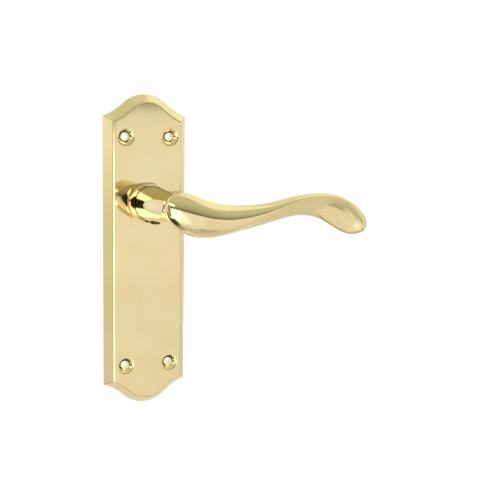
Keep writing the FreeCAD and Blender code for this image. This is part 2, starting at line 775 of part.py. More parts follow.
def make_cover_screws():
    """Four slotted countersunk screws, separate solids in one group."""
    screws = []
    for number, (across, up) in enumerate(four_corners("ear_across", "ear_along")):
        head = doc.addObject("Part::Cone", f"screw_{number}_head")
        bind(head, "Radius1", "cover_screw_head")
        bind(head, "Radius2", "cover_screw_radius")
        bind(head, "Height", "cover_thick")
        stem = doc.addObject("Part::Cylinder", f"screw_{number}_stem")
        bind(stem, "Radius", "cover_screw_radius")
        bind(stem, "Height", "cover_screw_length")
        blank = doc.addObject("Part::Fuse", f"screw_{number}_blank")
        blank.Base = head
        blank.Tool = stem
        slot = doc.addObject("Part::Box", f"screw_{number}_slot")
        bind(slot, "Length", "2 * cover_screw_head + 1")
        bind(slot, "Width", "cover_screw_slot")
        bind(slot, "Height", "cover_screw_slot_depth")
        bind(slot, "Placement.Base.x", "-cover_screw_head - 0.5")
        bind(slot, "Placement.Base.y", "-cover_screw_slot / 2")
        screw = doc.addObject("Part::Cut", f"screw_{number}")
        screw.Base = blank
        screw.Tool = slot
        screw.Placement.Rotation = FreeCAD.Rotation(FreeCAD.Vector(1, 0, 0), 90)
        bind(screw, "Placement.Base.x", across)
        bind(screw, "Placement.Base.y", "-cover_back")
        bind(screw, "Placement.Base.z", up)
        screws.append(screw)
    group = doc.addObject("Part::Compound", "cover_screws")
    group.Links = screws
    doc.recompute()
    return group


def make_drive_cam():
    """The steel cam: a hub on the shank's flats, a stop lobe, and the arm that pushes the springs."""
    body = new_body("drive_cam")
    hub = sketch_on(body, "XZ_Plane", "cam_hub", rise=CAM_BACK)
    circle(hub, "0", "0", "cam_hub_radius")
    pad(body, hub, "cam_thick")
    lobe = sketch_on(body, "XZ_Plane", "cam_lobe", rise=CAM_BACK)
    ring_sector(lobe, "shank_radius + 0.5", "lobe_radius", "-90 - lobe_half_angle", "-90 + lobe_half_angle")
    pad(body, lobe, "cam_thick")
    arm = sketch_on(body, "XZ_Plane", "cam_arm", rise=CAM_BACK)
    polygon(arm, (
        ("-cam_arm_width / 2", "-shank_radius - 0.5"),
        ("-cam_arm_width / 2", "-cam_arm_reach"),
        ("cam_arm_width / 2", "-cam_arm_reach"),
        ("cam_arm_width / 2", "-shank_radius - 0.5"),
    ))
    pad(body, arm, "cam_thick")
    bore = sketch_on(body, "XZ_Plane", "cam_bore", rise=CAM_BACK)
    flat_up = "sqrt(shank_radius ^ 2 - shank_flat ^ 2)"
    polygon(
        bore,
        (
            ("shank_flat", f"-{flat_up}"),
            ("shank_flat", flat_up),
            ("-shank_flat", flat_up),
            ("-shank_flat", f"-{flat_up}"),
        ),
        through={1: ("0", "shank_radius"), 3: ("0", "-shank_radius")},
    )
    pocket(body, bore, "cam_thick + 1")
    return body


def make_spring(label, first, last):
    """A coil spring bent round the channel from one angle to another, in degrees."""
    start, end = math.radians(size(first)), math.radians(size(last))
    turns = size("coil_turns")
    coil, channel, depth = size("coil_radius"), size("channel_radius"), size(CHANNEL_DEPTH)
    points_per_turn = 10
    count = int(turns * points_per_turn)
    points = []
    for step in range(count + 1):
        along = step / count
        angle = start + (end - start) * along
        winding = 2 * math.pi * turns * along
        radius = channel + coil * math.cos(winding)
        points.append(FreeCAD.Vector(
            radius * math.cos(angle), -depth - coil * math.sin(winding), radius * math.sin(angle),
        ))
    path = Part.BSplineCurve()
    path.interpolate(points)
    forwards = path.tangent(path.FirstParameter)[0]
    section = Part.Wire([Part.makeCircle(size("wire_radius"), points[0], forwards)])
    spring = doc.addObject("Part::Feature", label)
    spring.Shape = Part.Wire([path.toShape()]).makePipeShell([section], True, True)
    return spring


def make_shoe(label, first, last):
    """A nylon block in the channel between the cam's arm and a spring."""
    body = new_body(label)
    block = sketch_on(body, "XZ_Plane", f"{label}_block", rise=f"{CHANNEL_DEPTH} - shoe_half_depth")
    ring_sector(block, "channel_radius - shoe_half_width", "channel_radius + shoe_half_width", first, last)
    pad(body, block, "2 * shoe_half_depth")
    return body


def make_stop_pin(label, angle):
    """A dowel through the housing's floor that the cam's lobe comes to rest on."""
    body = new_body(label)
    pin = sketch_on(body, "XZ_Plane", f"{label}_circle", rise="stop_pin_back")
    circle(pin, *at_angle("stop_pin_circle", angle), "stop_pin_radius")
    pad(body, pin, "recess_depth - stop_pin_back")
    return body


def make_disc_spring():
    """A shallow cone of spring steel that takes up the end play."""
    body = new_body("disc_spring")
    turned(body, "Revolution", (
        (f"{CAM_BACK} - disc_spring_thick", "washer_bore"),
        (CAM_BACK, "washer_bore"),
        (f"{CAM_BACK} - disc_spring_rise", "washer_radius"),
        (DISC_SPRING_BACK, "washer_radius"),
    ), "disc_spring_cone")
    return body


def make_circlip():
    """The retaining ring in the shank's groove, open at the bottom, with a holed lug at each end."""
    body = new_body("shank_circlip")
    back = f"{WASHER_BACK} - circlip_thick"
    first, last = "-90 + circlip_gap_degrees", "270 - circlip_gap_degrees"
    ring = sketch_on(body, "XZ_Plane", "circlip_ring", rise=back)
    ring_sector(ring, "circlip_groove_radius", "circlip_radius", first, last)
    pad(body, ring, "circlip_thick")
    lugs = sketch_on(body, "XZ_Plane", "circlip_lugs", rise=back)
    lug_holes = sketch_on(body, "XZ_Plane", "circlip_lug_holes", rise=back)
    for angle in (first, last):
        circle(lugs, *at_angle("circlip_lug_circle", angle), "circlip_lug_radius")
        circle(lug_holes, *at_angle("circlip_lug_circle", angle), "circlip_lug_hole")
    pad(body, lugs, "circlip_thick")
    pocket(body, lug_holes, "circlip_thick + 1")
    return body


# ---------------------------------------------------------------- assembly

def build():
    fill_sheet()
    sub_parts.extend((
        make_backplate(),
        make_neck_bush(),
        make_lever_handle(),
        make_grub_screw(),
        make_spring_housing(),
        make_housing_cover(),
        make_cover_screws(),
        washer("slip_washer", f"{CAM_FRONT} + running_gap", "slip_washer_thick", "washer_bore",
               "slip_washer_radius"),
        make_drive_cam(),
        make_shoe("return_spring_shoe", "270 - shoe_end_degrees", "270 - shoe_start_degrees"),
        make_shoe("balance_spring_shoe", "-90 + shoe_start_degrees", "-90 + shoe_end_degrees"),
        make_spring("return_spring", "90 + abutment_half_angle + 2", "270 - shoe_end_degrees - 2"),
        make_spring("balance_spring", "90 - abutment_half_angle - 2", "-90 + shoe_end_degrees + 2"),
        make_stop_pin("rest_stop_pin", REST_PIN_ANGLE),
        make_stop_pin("travel_stop_pin", TRAVEL_PIN_ANGLE),
        make_disc_spring(),
        washer("shank_washer", WASHER_BACK, "shank_washer_thick", "washer_bore", "washer_radius"),
        make_circlip(),
    ))
    doc.recompute()


def check_document():
    """Stop if any object failed, or any sub-part isn't sound."""
    for thing in doc.Objects:
        if "Invalid" in thing.State or "Error" in thing.State:
            raise RuntimeError(f"{thing.Label}: {thing.State}")
    for part in sub_parts:
        if part.Shape.isNull() or not part.Shape.isValid() or not part.Shape.Solids:
            raise RuntimeError(f"{part.Label} is not a sound solid")


def write_parts():
    os.makedirs("parts", exist_ok=True)
    for part in sub_parts:
        part.Shape.exportStep(f"parts/{part.Label}.step")
        box = part.Shape.BoundBox
        print(
            f"{part.Label}: {len(part.Shape.Solids)} solid, {part.Shape.Volume:.1f} mm3, "
            f"x {box.XMin:.2f} {box.XMax:.2f} y {box.YMin:.2f} {box.YMax:.2f} z {box.ZMin:.2f} {box.ZMax:.2f}"
        )


build()
check_document()
write_parts()
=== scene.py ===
import json
import math

import bmesh
import bpy
import numpy as np
from mathutils import Euler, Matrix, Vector
from mathutils.geometry import delaunay_2d_cdt


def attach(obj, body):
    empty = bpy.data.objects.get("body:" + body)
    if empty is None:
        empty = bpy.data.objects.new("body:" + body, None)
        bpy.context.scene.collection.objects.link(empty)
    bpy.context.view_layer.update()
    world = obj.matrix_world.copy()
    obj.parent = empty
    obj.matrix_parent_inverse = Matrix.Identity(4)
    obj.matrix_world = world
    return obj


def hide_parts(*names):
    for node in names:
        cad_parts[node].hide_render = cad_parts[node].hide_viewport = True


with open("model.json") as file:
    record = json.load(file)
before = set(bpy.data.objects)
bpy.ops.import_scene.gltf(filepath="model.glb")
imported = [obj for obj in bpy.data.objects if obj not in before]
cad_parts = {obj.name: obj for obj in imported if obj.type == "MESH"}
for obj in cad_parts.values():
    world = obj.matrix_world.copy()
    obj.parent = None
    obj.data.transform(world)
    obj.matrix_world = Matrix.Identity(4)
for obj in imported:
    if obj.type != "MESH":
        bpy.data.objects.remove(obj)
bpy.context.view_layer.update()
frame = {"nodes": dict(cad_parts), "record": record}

scene = bpy.context.scene
MM = 0.001

# Sizes in millimetres, as in the CAD part, with depths in front of the door's face. WALL_ROUND,
# FACE_MARGIN, BOSS_WAIST, LIP_DEPTH and the SCOOP values belong to the finer shape, which the CAD part
# doesn't have.
SPINDLE_RISE = 23.7
PLATE_HALF_WIDTH = 20.5
PLATE_HALF_HEIGHT = 75.0
PLATE_DEPTH = 6.6
SIDE_WALL = 1.2
BEVEL_WIDTH = 3.6
FACE_MARGIN = 0.78
BEVEL_ROUND = 1.5
WALL_ROUND = 0.3
HALF_STRAIGHT = 64.7
CREST_RADIUS = 15.5
CREST_HALF_WIDTH = 10.5
RECESS_DEPTH = 4.6
RECESS_RIM = 3.4
RECESS_HALF_LENGTH = 61.0
RECESS_CORNER = 6.0
FIXINGS = [(x, z) for x in (-11.0, 11.0) for z in (-55.0, 55.0)]
FIXING_BORE = 2.0
FIXING_SINK = 3.7
FIXING_POST = 4.4
EARS = [(x, SPINDLE_RISE + z) for x in (-8.5, 8.5) for z in (-18.0, 18.0)]
EAR_RADIUS = 3.0
EAR_BACK = 1.0
TAP_RADIUS = 1.25
TAP_DEPTH = 3.9
BOSS_FRONT = 12.8
BOSS_ROOT = 9.05
BOSS_RIM = 9.2
BOSS_WAIST = 8.85
LIP_DEPTH = 2.0
BOSS_ROUND = 0.5
COUNTERBORE = 8.6
COUNTERBORE_DEPTH = 1.6
BUSH_OUTER = 8.0

SHANK_RADIUS = 7.05
SHANK_BACK = 0.2
SHANK_FLAT = 6.2
FLATS_FRONT = 3.575
SHOULDER = 12.15
GROOVE_BACK = 0.7
GROOVE_FRONT = 1.35
GROOVE_RADIUS = 6.6
NECK_START = 8.45
NECK_MIDDLE = (26.6, 7.4)
NECK_END = (40.8, 5.7)
NECK_SUNK = 47.6
SOCKET_HALF = 4.05
SOCKET_DEPTH = 30.0
GRUB_DEPTH = 17.2
GRUB_RADIUS = 2.5
GRUB_TOP = -4.1
GRUB_BOTTOM = -9.1
KEY_HALF = 1.25
KEY_DEPTH = 2.2
CUP_RADIUS = 1.3
CUP_DEPTH = 0.6

# Along X, the flank below the ridge turns hollow over SCOOP_LENGTH from SCOOP_START, and is flat again
# after the last SCOOP_FADE before SCOOP_END.
SCOOP_START = 58.0
SCOOP_LENGTH = 20.0
SCOOP_END = 93.0
SCOOP_FADE = 8.0

# Upper edge's X and Z, lower edge's X and Z, the ridge's place across (-1 lower edge, 1 upper edge), then
# heights in front of the plate's face of the rear, lower edge, upper edge, ridge and crown.
STATIONS = (
    (-5.6, 2.6, -5.7, 0.2, -1.0, 38.8, 39.2, 41.6, 41.6, 41.9),
    (-4.7, 5.4, -4.9, -2.8, -1.0, 38.8, 39.2, 41.6, 41.6, 43.2),
    (-2.0, 7.3, -2.6, -6.2, -1.0, 38.8, 39.2, 41.7, 41.6, 45.1),
    (4.0, 7.6, 3.0, -10.4, -1.0, 38.8, 39.2, 42.2, 41.6, 47.0),
    (12.0, 4.8, 11.0, -12.6, -1.0, 38.7, 39.4, 43.0, 42.0, 47.8),
    (22.0, 2.3, 20.0, -12.4, -0.93, 38.5, 39.8, 43.0, 42.8, 47.5),
    (33.0, 1.8, 31.0, -10.2, -0.65, 38.2, 40.2, 42.8, 44.6, 47.2),
    (45.0, 3.0, 44.0, -7.0, 0.03, 38.0, 40.6, 42.6, 46.6, 46.9),
    (56.0, 5.4, 56.0, -4.2, 0.45, 37.8, 40.6, 42.4, 46.6, 46.7),
    (65.0, 6.5, 64.0, -4.0, 0.6, 37.6, 40.4, 42.2, 46.4, 46.5),
    (75.0, 6.4, 71.0, -5.7, 0.67, 37.4, 39.8, 42.0, 46.2, 46.3),
    (84.0, 3.8, 77.0, -8.8, 0.65, 37.2, 39.4, 41.8, 45.8, 45.9),
    (91.0, -0.8, 82.0, -11.6, 0.56, 37.1, 39.2, 41.6, 45.2, 45.3),
    (95.2, -5.4, 86.5, -13.4, 0.38, 37.3, 39.2, 41.2, 44.2, 44.3),
    (96.2, -9.4, 90.5, -13.9, 0.1, 38.0, 39.4, 40.8, 42.8, 42.9),
    (95.4, -11.6, 93.6, -13.2, 0.0, 39.0, 39.6, 40.4, 41.4, 41.5),
)


# ---------------------------------------------------------------- mesh helpers

class Shell:
    """Points and faces of one closed piece, gathered surface by surface and then welded.

    Points are (x, depth, z) in millimetres, with depth in front of the door's face.
    """

    def __init__(self):
        self.points = []
        self.faces = []

    def loop(self, outline, depth):
        """A loop of points at one depth; returns their numbers."""
        first = len(self.points)
        self.points.extend((x, depth, z) for x, z in outline)
        return list(range(first, len(self.points)))

    def bridge(self, one, other):
        count = len(one)
        for index in range(count):
            following = (index + 1) % count
            self.faces.append((one[index], one[following], other[following], other[index]))

    def rings(self, outlines):
        """A band through (outline, depth) pairs; returns the first and last loops."""
        loops = [self.loop(outline, depth) for outline, depth in outlines]
        for one, other in zip(loops, loops[1:]):
            self.bridge(one, other)
        return loops[0], loops[-1]

    def turned(self, centre, profile, steps=96):
        """A surface turned about a line along Y; the profile is (radius, depth) pairs."""
        outlines = [(ring(centre, radius, steps), depth) for radius, depth in profile]
        return self.rings(outlines)

    def fill(self, depth, outer, holes=()):
        """A flat face between an outline and the outlines of its holes."""
        flat = [Vector(point) for point in outer]
        edges = [(index, (index + 1) % len(outer)) for index in range(len(outer))]
        for hole in holes:
            first = len(flat)
            flat.extend(Vector(point) for point in hole)
            edges.extend((first + index, first + (index + 1) % len(hole)) for index in range(len(hole)))
        found, _, triangles, _, _, _ = delaunay_2d_cdt(flat, edges, [], 1, 1e-7)
        first = len(self.points)
        self.points.extend((point.x, depth, point.y) for point in found)
        for triangle in triangles:
            middle = sum((found[corner] for corner in triangle), Vector((0, 0))) / len(triangle)
            if inside(middle, outer) and not any(inside(middle, hole) for hole in holes):
                self.faces.append(tuple(first + corner for corner in triangle))

    def build(self, name, sharp_degrees=40.0, lift=0.0, weld=2e-4):
        """Weld the surfaces into one mesh object in the row frame."""
        shape = bmesh.new()
        corners = [shape.verts.new((x * MM, -depth * MM, (z + lift) * MM)) for x, depth, z in self.points]
        for face in self.faces:
            if len(set(face)) > 2:
                shape.faces.new([corners[index] for index in face])
        bmesh.ops.remove_doubles(shape, verts=shape.verts, dist=weld * MM)
        bmesh.ops.dissolve_degenerate(shape, dist=1e-8, edges=shape.edges)
        bmesh.ops.recalc_face_normals(shape, faces=shape.faces)
        mesh = bpy.data.meshes.new(name)
        shape.to_mesh(mesh)
        shape.free()
        return finish_mesh(name, mesh, sharp_degrees)


def finish_mesh(name, mesh, sharp_degrees):
    mesh.shade_smooth()
    mesh.set_sharp_from_angle(angle=math.radians(sharp_degrees))
    piece = bpy.data.objects.new(name, mesh)
    scene.collection.objects.link(piece)
    weighted = piece.modifiers.new("weighted_normals", "WEIGHTED_NORMAL")
    weighted.keep_sharp = True
    return piece


def inside(point, outline):
    """Whether a flat point lies inside an outline."""
    count = len(outline)
    crossed = False
    for index in range(count):
        (x1, z1), (x2, z2) = outline[index], outline[(index + 1) % count]
        if (z1 > point.y) != (z2 > point.y):
            if point.x < (x2 - x1) * (point.y - z1) / (z2 - z1) + x1:
                crossed = not crossed
    return crossed


def ring(centre, radius, steps=96):
    return [
        (centre[0] + radius * math.cos(turn), centre[1] + radius * math.sin(turn))
        for turn in (2 * math.pi * step / steps for step in range(steps))
    ]


def arc(centre, radius, start, end, steps):
    """Points along an arc, both ends included, with angles in radians."""
    return [
        (centre[0] + radius * math.cos(turn), centre[1] + radius * math.sin(turn))
        for turn in (start + (end - start) * step / steps for step in range(steps + 1))
    ]


def rounded(profile, corner, radius, steps=6):
    """Replace one corner of an open profile by an arc of a radius."""
    before, at, after = (Vector(profile[corner + step]) for step in (-1, 0, 1))
    back, forward = (before - at).normalized(), (after - at).normalized()
    half = back.angle(forward) / 2
    start = at + back * (radius / math.tan(half))
    end = at + forward * (radius / math.tan(half))
    centre = at + (back + forward).normalized() * (radius / math.sin(half))
    first = math.atan2(*(start - centre).yx)
    sweep = math.atan2(*(end - centre).yx) - first
    sweep = (sweep + math.pi) % (2 * math.pi) - math.pi
    bend = arc(centre, radius, first, first + sweep, steps)
    return profile[:corner] + bend + profile[corner + 1:]


# ---------------------------------------------------------------- backplate

def plate_outline(inset):
    """The ogee outline moved inwards, with the same number of points whatever the inset."""
    crest_centre = Vector((0, PLATE_HALF_HEIGHT - CREST_RADIUS))
    outward = Vector((CREST_HALF_WIDTH, math.sqrt(CREST_RADIUS ** 2 - CREST_HALF_WIDTH ** 2))) / CREST_RADIUS
    turn = crest_centre + outward * CREST_RADIUS
    chord = Vector((PLATE_HALF_WIDTH, HALF_STRAIGHT)) - turn
    hollow_radius = chord.length_squared / (2 * chord.dot(outward))
    hollow_centre = turn + outward * hollow_radius
    reach = hollow_radius + inset
    side = PLATE_HALF_WIDTH - inset
    corner_up = hollow_centre.y - math.sqrt(reach ** 2 - (hollow_centre.x - side) ** 2)
    soft = 0.35
    straight = [corner_up * part / 12 for part in range(12)] + [corner_up - soft]
    quarter = [(side, up) for up in straight]
    corner_turn = math.atan2(corner_up - hollow_centre.y, side - hollow_centre.x)
    join_turn = math.atan2(-outward.y, -outward.x)
    step = soft / reach
    quarter += [(side, corner_up)]
    quarter += arc(hollow_centre, reach, corner_turn - step, join_turn, 26)
    crest_turn = math.atan2(outward.y, outward.x)
    quarter += arc(crest_centre, CREST_RADIUS - inset, crest_turn, math.pi / 2, 26)[1:]
    left = [(-x, z) for x, z in reversed(quarter[:-1])]
    top = quarter + left
    bottom = [(-x, -z) for x, z in top[1:-1]]
    return top + bottom


def rounded_rectangle(half_width, half_height, corner):
    points = []
    for side_x, side_z, start in ((1, 1, 0.0), (-1, 1, 0.5), (-1, -1, 1.0), (1, -1, 1.5)):
        centre = (side_x * (half_width - corner), side_z * (half_height - corner))
        points += arc(centre, corner, start * math.pi, (start + 0.5) * math.pi, 10)
    return points


def make_backplate():
    shell = Shell()
    boss = (0.0, SPINDLE_RISE)
    sink_steps, ear_steps, boss_steps = 64, 48, 128
    sink_reach = FIXING_SINK + 1.2
    boss_reach = BOSS_ROOT + 0.9
    edge = [
        (0.0, 0.0), (0.0, SIDE_WALL), (BEVEL_WIDTH, PLATE_DEPTH),
        (BEVEL_WIDTH + FACE_MARGIN, PLATE_DEPTH),
    ]
    edge = rounded(edge, 2, BEVEL_ROUND, 12)
    edge = rounded(edge, 1, WALL_ROUND, 4)
    edge = [(0.2, 0.0), (0.06, 0.06)] + [(0.0, 0.2)] + edge[1:]
    shell.rings([(plate_outline(inset), depth) for inset, depth in edge])

    sinks = []
    for centre in FIXINGS:
        profile = [
            (sink_reach, PLATE_DEPTH), (FIXING_SINK, PLATE_DEPTH),
            (FIXING_BORE, PLATE_DEPTH - (FIXING_SINK - FIXING_BORE)), (FIXING_BORE, 0.0),
        ]
        profile = rounded(profile, 2, 0.15, 3)
        profile = rounded(profile, 1, 1.5, 10)
        shell.turned(centre, profile, sink_steps)
        sinks.append(ring(centre, sink_reach, sink_steps))
        post = ring(centre, FIXING_POST, sink_steps)
        shell.fill(0.0, post, [ring(centre, FIXING_BORE, sink_steps)])
        shell.turned(centre, [(FIXING_POST, 0.0), (FIXING_POST, RECESS_DEPTH)], sink_steps)

    profile = [
        (boss_reach, PLATE_DEPTH), (BOSS_ROOT, PLATE_DEPTH), (BOSS_WAIST, PLATE_DEPTH + 1.0),
        (BOSS_WAIST, BOSS_FRONT - LIP_DEPTH), (BOSS_RIM, BOSS_FRONT - LIP_DEPTH + 0.15),
        (BOSS_RIM, BOSS_FRONT), (COUNTERBORE, BOSS_FRONT),
        (COUNTERBORE, BOSS_FRONT - COUNTERBORE_DEPTH),
        (BUSH_OUTER, BOSS_FRONT - COUNTERBORE_DEPTH), (BUSH_OUTER, RECESS_DEPTH),
    ]
    profile = rounded(profile, 3, 0.08, 3)
    profile = rounded(profile, 5, BOSS_ROUND, 8)
    profile = rounded(profile, 1, 0.25, 4)
    shell.turned(boss, profile, boss_steps)
    face = plate_outline(BEVEL_WIDTH + FACE_MARGIN)
    shell.fill(PLATE_DEPTH, face, sinks + [ring(boss, boss_reach, boss_steps)])

    recess = rounded_rectangle(PLATE_HALF_WIDTH - RECESS_RIM, RECESS_HALF_LENGTH, RECESS_CORNER)
    shell.fill(0.0, plate_outline(0.2), [recess])
    shell.rings([(recess, 0.0), (recess, RECESS_DEPTH)])
    for centre in EARS:
        tap_end = EAR_BACK + TAP_DEPTH
        tap = ring(centre, TAP_RADIUS, ear_steps)
        shell.turned(centre, [(EAR_RADIUS, RECESS_DEPTH), (EAR_RADIUS, EAR_BACK)], ear_steps)
        shell.fill(EAR_BACK, ring(centre, EAR_RADIUS, ear_steps), [tap])
        shell.turned(centre, [(TAP_RADIUS, EAR_BACK), (TAP_RADIUS, tap_end)], ear_steps)
        shell.fill(tap_end, tap)
    holes = [ring(centre, FIXING_POST, sink_steps) for centre in FIXINGS]
    holes += [ring(centre, EAR_RADIUS, ear_steps) for centre in EARS]
    shell.fill(RECESS_DEPTH, recess, holes + [ring(boss, BUSH_OUTER, boss_steps)])
    plate = shell.build("plate_casting", 60.0, lift=-SPINDLE_RISE)
    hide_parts("backplate")
    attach(plate, "plate")
    return plate


# ---------------------------------------------------------------- lever

def spline_through(knots, rows, wanted):
    """Natural cubic splines through rows of numbers, one row at each knot."""
    rows = np.asarray(rows, float)
    count = len(knots)
    gaps = np.diff(knots)
    system = np.eye(count)
    right = np.zeros_like(rows)
    for index in range(1, count - 1):
        before, after = gaps[index - 1], gaps[index]
        system[index, index - 1:index + 2] = before, 2 * (before + after), after
        slopes = np.diff(rows[index - 1:index + 2], axis=0) / gaps[index - 1:index + 1, None]
        right[index] = 6 * (slopes[1] - slopes[0])
    bend = np.linalg.solve(system, right)
    span = np.clip(np.searchsorted(knots, wanted, side="right") - 1, 0, count - 2)
    gap = gaps[span][:, None]
    after = (np.asarray(wanted) - knots[span])[:, None]
    before = gap - after
    return (
        bend[span] * before ** 3 / (6 * gap) + bend[span + 1] * after ** 3 / (6 * gap)
        + (rows[span] / gap - bend[span] * gap / 6) * before
        + (rows[span + 1] / gap - bend[span + 1] * gap / 6) * after
    )


def bezier(poles, steps):
    part = np.linspace(0, 1, steps + 1)[:-1, None]
    weights = ((1 - part) ** 3, 3 * part * (1 - part) ** 2, 3 * part ** 2 * (1 - part), part ** 3)
    return sum(weight * np.asarray(pole) for weight, pole in zip(weights, poles))


def lever_section(row, count, softness):
    """One closed section as count evenly spaced points, its corners softened by a width in mm."""
    upper_x, upper_z, lower_x, lower_z, ridge, rear, lower, upper, ridge_height, crown = row
    middle = np.array(((upper_x + lower_x) / 2, 0, (upper_z + lower_z) / 2))
    half = np.array(((upper_x - lower_x) / 2, 0, (upper_z - lower_z) / 2))

    def at(across, height):
        return middle + half * across + np.array((0, PLATE_DEPTH + height, 0))

    rear_handle = (8 * rear - lower - upper) / 6
    crown_handle = (8 * crown - upper - ridge_height) / 6
    lean = 0.14 * (1 - ridge)
    flank = ridge_height - lower
    hollowing = max(0.0, (upper_x - SCOOP_START) / SCOOP_LENGTH)
    fading = max(0.0, (SCOOP_END - lower_x) / SCOOP_FADE)
    scoop = min(1.0, hollowing, fading)
    fine = 160
    loop = np.concatenate((
        bezier((at(-1, lower), at(-0.98, rear_handle), at(0.98, rear_handle), at(1, upper)), fine),
        bezier((at(1, upper), at(1 - lean, crown_handle), at(ridge + lean, crown_handle),
                at(ridge, ridge_height)), fine),
        bezier((at(ridge, ridge_height),
                at(ridge - 0.3 * (ridge + 1), ridge_height - (0.25 + 0.4 * scoop) * flank),
                at(-1 + 0.3 * scoop, lower + (0.4 - 0.1 * scoop) * flank),
                at(-1, lower)), fine),
    ))
    closed = np.vstack((loop, loop[:1]))
    travelled = np.concatenate(([0.0], np.cumsum(np.linalg.norm(np.diff(closed, axis=0), axis=1))))
    total = travelled[-1]
    dense = 720
    even = np.linspace(0, total, dense, endpoint=False)
    points = np.column_stack([np.interp(even, travelled, closed[:, axis]) for axis in range(3)])
    spread = min(softness, total / 40) / (total / dense)
    reach = int(4 * spread) + 1
    offsets = np.arange(-reach, reach + 1)
    kernel = np.exp(-0.5 * (offsets / spread) ** 2)
    kernel /= kernel.sum()
    soft = sum(weight * np.roll(points, -offset, axis=0) for weight, offset in zip(kernel, offsets))
    # Points are placed along the section so that each keeps to one of its three curves.
    ends = np.interp([0, fine, 2 * fine, 3 * fine], np.arange(3 * fine + 1), travelled)
    shares = (0.3, 0.45, 0.25)
    chosen = []
    for share, first, last in zip(shares, ends, ends[1:]):
        steps = int(round(count * share))
        part = np.linspace(0, 1, steps, endpoint=False)
        part = part - 0.6 * np.sin(2 * np.pi * part) / (2 * np.pi)
        chosen.append(first + (last - first) * part)
    chosen = np.concatenate(chosen)
    wrapped = np.vstack((soft, soft[:1]))
    marks = np.concatenate((even, [total]))
    return np.column_stack([np.interp(chosen, marks, wrapped[:, axis]) for axis in range(3)])


def make_lever_arm():
    rows = np.array(STATIONS)
    moves = np.linalg.norm(np.diff(rows[:, :4], axis=0), axis=1)
    knots = np.concatenate(([0.0], np.cumsum(np.sqrt(moves))))
    wanted = np.concatenate([
        np.linspace(first, last, 16, endpoint=False) for first, last in zip(knots, knots[1:])
    ] + [[knots[-1]]])
    sections = [lever_section(row, 120, 0.22) for row in spline_through(knots, rows, wanted)]
    shell = Shell()
    cap_rise = 0.35
    loops = []
    for end, neighbour in ((sections[0], sections[2]), (sections[-1], sections[-3])):
        middle = end.mean(axis=0)
        outward = middle - neighbour.mean(axis=0)
        outward *= cap_rise / np.linalg.norm(outward)
        cap = []
        for turn in (15, 35, 55, 72):
            shrink, rise = math.cos(math.radians(turn)), math.sin(math.radians(turn))
            cap.append(middle + (end - middle) * shrink + outward * rise)
        if end is sections[0]:
            loops.extend(reversed(cap))
        else:
            tail = cap
    loops = loops + sections + tail
    numbers = []
    for section in loops:
        first = len(shell.points)
        shell.points.extend(tuple(point) for point in section)
        numbers.append(list(range(first, len(shell.points))))
    for one, other in zip(numbers, numbers[1:]):
        shell.bridge(one, other)
    for last in (numbers[0], numbers[-1]):
        middle = np.mean([shell.points[index] for index in last], axis=0)
        shell.points.append(tuple(middle))
        peak = len(shell.points) - 1
        for index in range(len(last)):
            shell.faces.append((last[index], last[(index + 1) % len(last)], peak))
    arm = shell.build("lever_arm", 75.0, weld=1e-5)
    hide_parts("lever_handle")
    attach(arm, "lever")
    return arm


def neck_profile():
    """The neck's radius from its shoulder to its end, on the arc through three points."""
    start, middle, end = (Vector(point) for point in (
        (BOSS_FRONT, NECK_START), NECK_MIDDLE, NECK_END,
    ))
    one, two = middle - start, end - start
    cross = 2 * (one.x * two.y - one.y * two.x)
    centre = start + Vector((
        (two.y * one.length_squared - one.y * two.length_squared) / cross,
        (one.x * two.length_squared - two.x * one.length_squared) / cross,
    ))
    radius = (start - centre).length
    side = 1 if start.y > centre.y else -1
    steps = 40
    depths = [start.x + (end.x - start.x) * step / steps for step in range(steps + 1)]
    return [
        (centre.y + side * math.sqrt(radius ** 2 - (depth - centre.x) ** 2), depth) for depth in depths
    ]


def cutter(name, corners, depth_range):
    """A closed prism along Y, used to cut and then removed."""
    shell = Shell()
    back, front = depth_range
    shell.rings([(corners, back), (corners, front)])
    shell.fill(back, corners)
    shell.fill(front, corners)
    made = shell.build(name)
    made.modifiers.clear()
    return made


def cut_away(piece, tools):
    """Boolean difference, applied to the mesh at once."""
    for tool in tools:
        step = piece.modifiers.new("cut", "BOOLEAN")
        step.operation = "DIFFERENCE"
        step.solver = "EXACT"
        step.object = tool
    graph = bpy.context.evaluated_depsgraph_get()
    mesh = bpy.data.meshes.new_from_object(piece.evaluated_get(graph))
    piece.modifiers.clear()
    old, piece.data = piece.data, mesh
    bpy.data.meshes.remove(old)
    for tool in tools:
        bpy.data.objects.remove(tool)
    return piece


